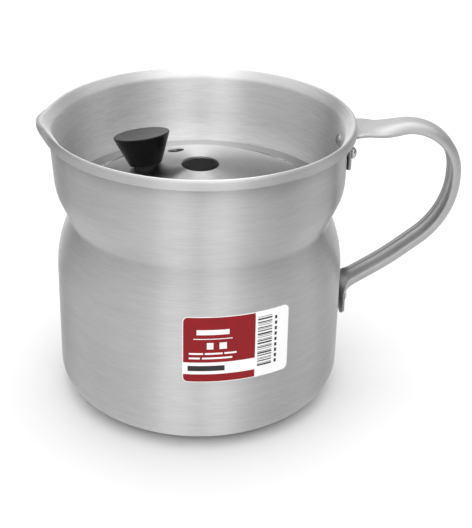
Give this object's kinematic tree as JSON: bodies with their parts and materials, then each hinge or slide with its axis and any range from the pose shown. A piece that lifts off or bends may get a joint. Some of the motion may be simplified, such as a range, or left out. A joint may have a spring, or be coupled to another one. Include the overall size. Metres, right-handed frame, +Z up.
{
  "type": "pouring pot",
  "caption": "Waisted aluminium pouring pot with a beak and riveted loop handle, and a loose domed boil-over guard with a knob.",
  "frame": {"origin": "centre of the pot's base, on the surface that it stands on", "axes": "+Z up along the pot's axis, +X towards the handle, -X towards the pouring beak"},
  "size_m": [0.2055, 0.1484, 0.1412],
  "materials": {
    "pot_aluminium": "brushed round the axis",
    "handle_aluminium": "tumbled satin",
    "rivet_aluminium": "satin",
    "guard_aluminium": "brushed round the axis",
    "knob_plastic": "semi-gloss moulded",
    "insert_brass": "turned",
    "washer_steel": "plain",
    "label_paper": "printed film"
  },
  "bodies": {
    "pot": {"pot_body": "pot_aluminium", "handle": "handle_aluminium", "upper_rivet_front": "rivet_aluminium", "upper_rivet_rear": "rivet_aluminium", "lower_rivet": "rivet_aluminium", "care_label": "label_paper"},
    "guard": {"guard_disc": "guard_aluminium", "knob": "knob_plastic", "knob_insert": "insert_brass", "knob_spacer": "washer_steel", "knob_washer": "washer_steel", "knob_screw": "washer_steel"}
  },
  "joints": [
    {"name": "guard_lift", "type": "slide", "parent": "pot", "child": "guard", "axis": [0, 0, 1], "range_m": [0, 0.09]}
  ]
}
